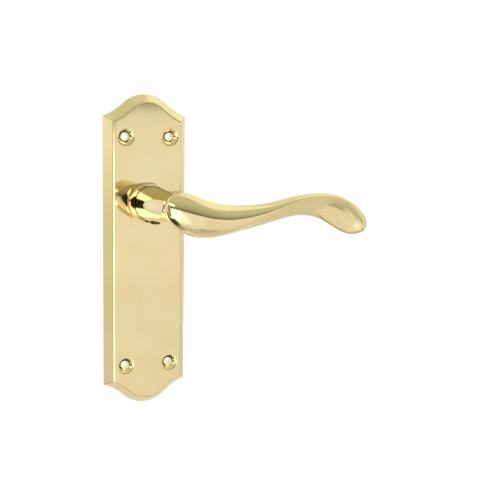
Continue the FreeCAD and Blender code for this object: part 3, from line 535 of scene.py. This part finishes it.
def make_neck():
    shell = Shell()
    profile = [
        (0.0, SHANK_BACK), (SHANK_RADIUS, SHANK_BACK), (SHANK_RADIUS, GROOVE_BACK),
        (GROOVE_RADIUS, GROOVE_BACK), (GROOVE_RADIUS, GROOVE_FRONT), (SHANK_RADIUS, GROOVE_FRONT),
        (SHANK_RADIUS, SHOULDER), (NECK_START, SHOULDER),
    ]
    curve = neck_profile()
    lip = [(NECK_START, BOSS_FRONT - 0.35), (NECK_START - 0.02, BOSS_FRONT + 0.06)]
    waist = [(NECK_END[1] - 0.05, NECK_END[0] + 0.5), (NECK_END[1] - 0.1, NECK_END[0] + 2.0)]
    flare = [(NECK_END[1] - 0.02, NECK_END[0] + 3.6), (NECK_END[1] + 0.25, NECK_END[0] + 4.3)]
    profile = rounded(profile, 1, 0.15, 3)
    profile += lip + curve[1:] + waist + flare + [(NECK_END[1], NECK_SUNK), (0.0, NECK_SUNK)]
    outlines = [(radius, depth) for radius, depth in profile if radius > 0]
    around = 144
    shell.turned((0, 0), outlines, around)
    shell.fill(SHANK_BACK, ring((0, 0), outlines[0][0], around))
    shell.fill(NECK_SUNK, ring((0, 0), outlines[-1][0], around))
    neck = shell.build("lever_neck", 35.0, weld=1e-5)
    neck.modifiers.clear()
    half = SOCKET_HALF
    square = [(half, half), (-half, half), (-half, -half), (half, -half)]
    clear = 2
    tall = 9
    tools = [cutter("socket_cut", square, (SHANK_BACK - clear, SOCKET_DEPTH))]
    for side in (-1, 1):
        face, beyond = side * SHANK_FLAT, side * (SHANK_RADIUS + clear)
        flat = [(face, tall), (beyond, tall), (beyond, -tall), (face, -tall)]
        tools.append(cutter("flat_cut", flat, (SHANK_BACK - clear, FLATS_FRONT)))
    tools.append(screw_hole())
    neck = cut_away(neck, tools)
    neck.data.shade_smooth()
    neck.data.set_sharp_from_angle(angle=math.radians(35))
    weighted = neck.modifiers.new("weighted_normals", "WEIGHTED_NORMAL")
    weighted.keep_sharp = True
    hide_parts("lever_handle")
    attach(neck, "lever")
    return neck


def screw_hole():
    """The grub screw's tapped hole as a cutting cylinder under the neck."""
    mesh = bpy.data.meshes.new("hole_cut")
    shape = bmesh.new()
    radius = (GRUB_RADIUS + 0.06) * MM
    length = 8
    bmesh.ops.create_cone(
        shape, cap_ends=True, segments=48, radius1=radius, radius2=radius, depth=length * MM,
    )
    shape.to_mesh(mesh)
    shape.free()
    made = bpy.data.objects.new("hole_cut", mesh)
    made.location = (0, -GRUB_DEPTH * MM, (GRUB_TOP + 0.15 - length / 2) * MM)
    scene.collection.objects.link(made)
    return made


def make_grub_screw():
    """A set screw with rolled thread, chamfered ends, a cup point and a hexagon key socket."""
    around, rows = 72, 84
    length = GRUB_TOP - GRUB_BOTTOM
    pitch, thread, chamfer = 0.8, 0.2, 0.55
    shape = bmesh.new()
    rings = []
    for row in range(rows + 1):
        up = length * row / rows
        near_end = min(up, length - up)
        ends = max(0.0, chamfer - near_end)
        verts = []
        for step in range(around):
            turn = 2 * math.pi * step / around
            phase = (up / pitch - turn / (2 * math.pi)) % 1.0
            groove = thread * (1 - abs(2 * phase - 1)) ** 0.8
            radius = min(GRUB_RADIUS - groove, GRUB_RADIUS - 0.75 * ends)
            verts.append(shape.verts.new((
                radius * math.cos(turn) * MM, radius * math.sin(turn) * MM, (GRUB_BOTTOM + up) * MM,
            )))
        rings.append(verts)

    def bridge(one, other):
        count = len(one)
        for index in range(count):
            following = (index + 1) % count
            shape.faces.new((one[index], one[following], other[following], other[index]))

    def inner(radius_of, up):
        turns = [2 * math.pi * step / around for step in range(around)]
        return [
            shape.verts.new((
                radius_of(turn) * math.cos(turn) * MM, radius_of(turn) * math.sin(turn) * MM, up * MM,
            ))
            for turn in turns
        ]

    def hexagon(turn):
        return KEY_HALF / math.cos((turn + math.pi / 6) % (math.pi / 3) - math.pi / 6)

    for one, other in zip(rings, rings[1:]):
        bridge(one, other)
    mouth = inner(lambda turn: max(hexagon(turn), 1.5), GRUB_BOTTOM)
    lip = inner(hexagon, GRUB_BOTTOM + 0.15)
    deep = inner(hexagon, GRUB_BOTTOM + KEY_DEPTH)
    bridge(rings[0], mouth)
    bridge(mouth, lip)
    bridge(lip, deep)
    shape.faces.new(deep)
    cup = inner(lambda turn: CUP_RADIUS, GRUB_TOP)
    bottom = inner(lambda turn: 0.5, GRUB_TOP - CUP_DEPTH)
    bridge(rings[-1], cup)
    bridge(cup, bottom)
    shape.faces.new(bottom)
    for vertex in shape.verts:
        vertex.co.y -= GRUB_DEPTH * MM
    bmesh.ops.recalc_face_normals(shape, faces=shape.faces)
    mesh = bpy.data.meshes.new("grub_screw_threaded")
    shape.to_mesh(mesh)
    shape.free()
    screw = finish_mesh("grub_screw_threaded", mesh, 35.0)
    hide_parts("grub_screw")
    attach(screw, "lever")
    return screw


# ---------------------------------------------------------------- materials

def new_tree(owner):
    owner.use_nodes = True
    tree = owner.node_tree
    tree.nodes.clear()
    return tree


def feed(tree, socket, value):
    """Link an input socket from another socket, or set it to a value."""
    if isinstance(value, bpy.types.NodeSocket):
        tree.links.new(value, socket)
    else:
        socket.default_value = value


def put(tree, kind, settings=None, **inputs):
    """A new node with its own properties set and its input sockets fed.

    An input's key is the socket's name with underscores for spaces, or i and the socket's number.
    """
    made = tree.nodes.new(kind)
    for name, value in (settings or {}).items():
        setattr(made, name, value)
    for name, value in inputs.items():
        numbered = name[0] == "i" and name[1:].isdigit()
        feed(tree, made.inputs[int(name[1:]) if numbered else name.replace("_", " ")], value)
    return made


def calc(tree, operation, first, second=0.0):
    made = put(tree, "ShaderNodeMath", settings={"operation": operation}, i0=first, i1=second)
    return made.outputs[0]


def ramp(tree, factor, stops):
    made = put(tree, "ShaderNodeValToRGB", i0=factor)
    made.color_ramp.interpolation = "LINEAR"
    elements = made.color_ramp.elements
    elements.remove(elements[-1])
    for index, (position, colour) in enumerate(stops):
        element = elements[0] if index == 0 else elements.new(position)
        element.position = position
        element.color = (*colour, 1)
    return made.outputs[0]


def blend(tree, factor, one, other):
    made = put(tree, "ShaderNodeMix", settings={"data_type": "RGBA"})
    for number, value in ((0, factor), (6, one), (7, other)):
        feed(tree, made.inputs[number], value)
    return made.outputs[2]


def noise(tree, scale, detail=3.0, stretch=(1, 1, 1), roughness=0.5):
    """Noise over the piece's own coordinates, in metres; returns its factor socket."""
    place = put(tree, "ShaderNodeTexCoord").outputs["Object"]
    spread = put(tree, "ShaderNodeMapping", Vector=place, Scale=stretch).outputs[0]
    made = put(tree, "ShaderNodeTexNoise", Vector=spread, Scale=scale, Detail=detail, Roughness=roughness)
    return made.outputs["Fac"]


def between(tree, factor, low, high):
    made = put(tree, "ShaderNodeMapRange", i0=factor, i1=0.3, i2=0.7, i3=low, i4=high)
    return made.outputs[0]


def new_material(name):
    material = bpy.data.materials.new(name)
    tree = new_tree(material)
    shader = put(tree, "ShaderNodeBsdfPrincipled")
    put(tree, "ShaderNodeOutputMaterial", Surface=shader.outputs[0])
    return material, tree, shader


def polished_metal(name, tint, dull, rough, grain=(1, 1, 1), streak=900.0, bump=0.02, coat=0.0):
    """Polished metal: faint cloudy tint, fine polishing marks in gloss and relief."""
    material, tree, shader = new_material(name)
    cloudy = noise(tree, 70.0, 4.0)
    marks = noise(tree, streak, 5.0, grain, 0.6)
    fine = noise(tree, streak * 4, 2.0, grain)
    colour = blend(tree, between(tree, cloudy, 0.0, 1.0), (*tint, 1), (*dull, 1))
    tree.links.new(colour, shader.inputs["Base Color"])
    shader.inputs["Metallic"].default_value = 1.0
    gloss = calc(tree, "MULTIPLY", between(tree, marks, rough[0], rough[1]), between(tree, fine, 0.9, 1.1))
    tree.links.new(gloss, shader.inputs["Roughness"])
    relief = put(tree, "ShaderNodeBump", Strength=bump, Distance=0.0002, Height=marks)
    tree.links.new(relief.outputs[0], shader.inputs["Normal"])
    if coat:
        shader.inputs["Coat Weight"].default_value = coat
        shader.inputs["Coat Roughness"].default_value = 0.03
    return material


def moulded_plastic(name, colour, worn, rough):
    material, tree, shader = new_material(name)
    patch = noise(tree, 300.0, 4.0)
    pores = noise(tree, 4000.0, 2.0)
    tint = blend(tree, between(tree, patch, 0.0, 1.0), (*colour, 1), (*worn, 1))
    tree.links.new(tint, shader.inputs["Base Color"])
    tree.links.new(between(tree, patch, rough[0], rough[1]), shader.inputs["Roughness"])
    relief = put(tree, "ShaderNodeBump", Strength=0.15, Distance=0.0001, Height=pores)
    tree.links.new(relief.outputs[0], shader.inputs["Normal"])
    return material


BRASS = (0.80, 0.684, 0.386)
BRASS_DULL = (0.775, 0.640, 0.335)
MATERIALS = {
    "plate_brass": lambda name: polished_metal(
        name, BRASS, BRASS_DULL, (0.045, 0.075), (1, 1, 0.06), 1500.0, 0.005, 0.05),
    "lever_brass": lambda name: polished_metal(
        name, BRASS, BRASS_DULL, (0.03, 0.05), (0.1, 1, 1), 900.0, 0.004, 0.1),
    "bush_nylon": lambda name: moulded_plastic(name, (0.02, 0.018, 0.015), (0.04, 0.035, 0.03), (0.4, 0.6)),
    "blackened_steel": lambda name: polished_metal(
        name, (0.09, 0.06, 0.05), (0.16, 0.10, 0.08), (0.3, 0.45), (1, 1, 1), 2500.0, 0.1),
    "cast_zinc": lambda name: polished_metal(
        name, (0.42, 0.43, 0.45), (0.33, 0.34, 0.36), (0.42, 0.6), (1, 1, 1), 1200.0, 0.25),
    "plated_steel": lambda name: polished_metal(
        name, (0.72, 0.72, 0.68), (0.60, 0.62, 0.60), (0.2, 0.38), (1, 1, 0.04), 1500.0, 0.08),
    "screw_steel": lambda name: polished_metal(
        name, (0.66, 0.66, 0.64), (0.52, 0.52, 0.50), (0.18, 0.35), (1, 1, 1), 2200.0, 0.08),
    "washer_nylon": lambda name: moulded_plastic(name, (0.80, 0.78, 0.70), (0.72, 0.69, 0.60), (0.35, 0.5)),
    "cam_steel": lambda name: polished_metal(
        name, (0.55, 0.55, 0.55), (0.42, 0.42, 0.42), (0.25, 0.45), (1, 1, 1), 1800.0, 0.12),
    "spring_steel": lambda name: polished_metal(
        name, (0.32, 0.32, 0.34), (0.22, 0.21, 0.21), (0.22, 0.4), (1, 1, 1), 2600.0, 0.06),
}


# ---------------------------------------------------------------- camera, floor and light

FOCAL_LENGTH = 76.2
CAMERA_PLACE = (-0.1626, -0.4858, 0.0441)
CAMERA_TURNS = (82.518, -0.829, -24.189)


def add_camera():
    data = bpy.data.cameras.new("camera")
    data.lens = FOCAL_LENGTH
    data.sensor_width = 36.0
    data.clip_start = 0.01
    data.clip_end = 50.0
    camera = bpy.data.objects.new("camera", data)
    camera.location = CAMERA_PLACE
    camera.rotation_euler = Euler([math.radians(turn) for turn in CAMERA_TURNS], "XYZ")
    scene.collection.objects.link(camera)
    scene.camera = camera


# Colours of the room's brightest patches
WINDOW = (2.3, 2.3, 2.4)
PANEL = (3.2, 3.2, 3.0)
WHITE_SWEEP = (1.06, 1.06, 1.06, 1)


def add_studio():
    """The room as a world: by heading (0 is the front, positive to the right) and height in degrees."""
    world = bpy.data.worlds.new("studio")
    scene.world = world
    tree = new_tree(world)
    direction = put(tree, "ShaderNodeTexCoord").outputs["Generated"]
    across, away, up = put(tree, "ShaderNodeSeparateXYZ", Vector=direction).outputs
    degrees = 180 / math.pi
    height = calc(tree, "MULTIPLY", calc(tree, "ARCSINE", up), degrees)
    towards = calc(tree, "MULTIPLY", away, -1.0)
    heading = calc(tree, "MULTIPLY", calc(tree, "ARCTAN2", across, towards), degrees)

    def step(value, start, end):
        return put(tree, "ShaderNodeMapRange", settings={"interpolation_type": "SMOOTHSTEP"},
                   i0=value, i1=start, i2=end).outputs[0]

    def by_height(stops):
        part = put(tree, "ShaderNodeMapRange", i0=height, i1=-90.0, i2=90.0).outputs[0]
        return ramp(tree, part, [((up_degrees + 90) / 180, colour) for up_degrees, colour in stops])

    def patch(colour, under, headings, heights, soft=5.0):
        """A soft-edged panel of one colour over what is already there."""
        half = soft / 2
        covers = step(heading, headings[0] - half, headings[0] + half)
        for value, start, end in (
            (heading, headings[1] + half, headings[1] - half),
            (height, heights[0] - half, heights[0] + half),
            (height, heights[1] + half, heights[1] - half),
        ):
            covers = calc(tree, "MULTIPLY", covers, step(value, start, end))
        return blend(tree, covers, under, (*colour, 1))

    front = by_height((
        (-90, (0.72, 0.70, 0.66)), (-75, (0.70, 0.68, 0.64)), (-54, (0.58, 0.55, 0.54)),
        (-51.5, (0.98, 0.95, 0.91)), (-4, (1.00, 0.98, 0.98)), (-1.5, (0.98, 0.97, 0.95)),
        (-0.3, (0.40, 0.40, 0.30)), (1.0, (0.14, 0.14, 0.09)), (3, (0.22, 0.22, 0.15)),
        (7, (0.36, 0.37, 0.27)), (13, (0.48, 0.50, 0.37)), (22, (0.60, 0.62, 0.48)),
        (38, (0.70, 0.72, 0.58)), (90, (0.76, 0.78, 0.66)),
    ))
    right = by_height((
        (-90, (0.74, 0.72, 0.68)), (-40, (0.86, 0.84, 0.80)), (-12, (0.80, 0.79, 0.74)),
        (-6, (0.84, 0.84, 0.68)), (-2, (0.95, 0.95, 0.85)), (25, (1.04, 1.06, 0.92)),
        (40, (1.14, 1.19, 1.00)), (75, (1.14, 1.19, 1.00)), (90, (0.90, 0.92, 0.85)),
    ))
    left = by_height((
        (-90, (0.90, 0.88, 0.86)), (-14, (0.84, 0.82, 0.86)), (-8, (0.83, 0.82, 0.66)),
        (-5, (0.88, 0.89, 0.72)), (-2, (1.08, 1.08, 1.04)), (30, (1.00, 1.00, 0.92)),
        (50, (0.80, 0.82, 0.70)), (90, (0.76, 0.78, 0.66)),
    ))
    rear = by_height((
        (-90, (0.90, 0.88, 0.86)), (-20, (0.92, 0.90, 0.86)), (-4, (1.06, 1.06, 1.06)),
        (12, (1.06, 1.06, 1.06)), (40, (0.95, 0.96, 0.92)), (90, (0.80, 0.82, 0.74)),
    ))
    room = blend(tree, step(heading, 44.0, 62.0), front, right)
    room = blend(tree, step(heading, -84.0, -96.0), room, left)
    room = blend(tree, step(calc(tree, "ABSOLUTE", heading), 134.0, 142.0), room, rear)
    for colour, headings, heights, soft in (
        ((1.03, 1.02, 1.02), (12, 52), (-9, 0.15), 0.7),
        ((1.10, 1.07, 1.10), (-8, 16), (-44, -3), 6.0),
        ((1.03, 1.00, 0.98), (-70, 9), (-64, -38), 14.0),
        ((1.5, 1.48, 1.48), (-44, -9), (-46, -10), 14.0),
        (WINDOW, (-87, -29), (-46, -12), 6.0),
        (WINDOW, (-60, -20), (-14, -1.5), 3.0),
        (WINDOW, (-84, -40), (9, 19), 6.0),
        ((0.34, 0.31, 0.20), (-90, -70), (-34, -1), 3.0),
        ((0.07, 0.06, 0.04), (-130, -100), (-78, -18), 6.0),
        ((0.09, 0.08, 0.05), (-106, -56), (-66, -40), 8.0),
    ):
        room = patch(colour, room, headings, heights, soft)
    # Deeper in the reflections between neck and plate, the panels stand nearer to the front.
    path = put(tree, "ShaderNodeLightPath").outputs
    deep = room
    for colour, headings, heights, soft in (
        ((0.03, 0.025, 0.012), (-42, -7), (-13, 9), 3.0),
        (PANEL, (-40, -7), (10, 22), 3.0),
        (PANEL, (-40, -3), (-29, -14), 3.0),
    ):
        deep = patch(colour, deep, headings, heights, soft)
    room = blend(tree, calc(tree, "GREATER_THAN", path["Ray Depth"], 2.5), room, deep)
    # The camera itself sees only a plain pale sweep behind the object.
    room = blend(tree, path["Is Camera Ray"], room, WHITE_SWEEP)
    background = put(tree, "ShaderNodeBackground", Color=room, Strength=1.0)
    put(tree, "ShaderNodeOutputWorld", Surface=background.outputs[0])


def add_floor():
    """A wide pale sheet well below the object, unseen in its reflections."""
    mesh = bpy.data.meshes.new("floor")
    shape = bmesh.new()
    bmesh.ops.create_grid(shape, x_segments=2, y_segments=2, size=4.0)
    shape.to_mesh(mesh)
    shape.free()
    floor = bpy.data.objects.new("floor", mesh)
    floor.location = (0, 0, -0.7)
    floor.visible_glossy = False
    scene.collection.objects.link(floor)
    material, _, shader = new_material("floor_paper")
    shader.inputs["Base Color"].default_value = (0.96, 0.96, 0.96, 1)
    shader.inputs["Roughness"].default_value = 0.9
    shader.inputs["Emission Color"].default_value = (1, 1, 1, 1)
    shader.inputs["Emission Strength"].default_value = 0.4
    mesh.materials.append(material)


# ---------------------------------------------------------------- assembly

def dress(materials):
    """Give every shown piece the material of its slot in the record."""
    for entry in frame["record"]["subparts"]:
        piece = frame["nodes"][entry["node"]]
        piece.data.materials.clear()
        piece.data.materials.append(materials[entry["material_slot"]])


scene.view_settings.view_transform = "Standard"
add_camera()
add_studio()
add_floor()
materials = {slot: make(slot) for slot, make in MATERIALS.items()}
dress(materials)
make_backplate().data.materials.append(materials["plate_brass"])
make_lever_arm().data.materials.append(materials["lever_brass"])
make_neck().data.materials.append(materials["lever_brass"])
make_grub_screw().data.materials.append(materials["blackened_steel"])
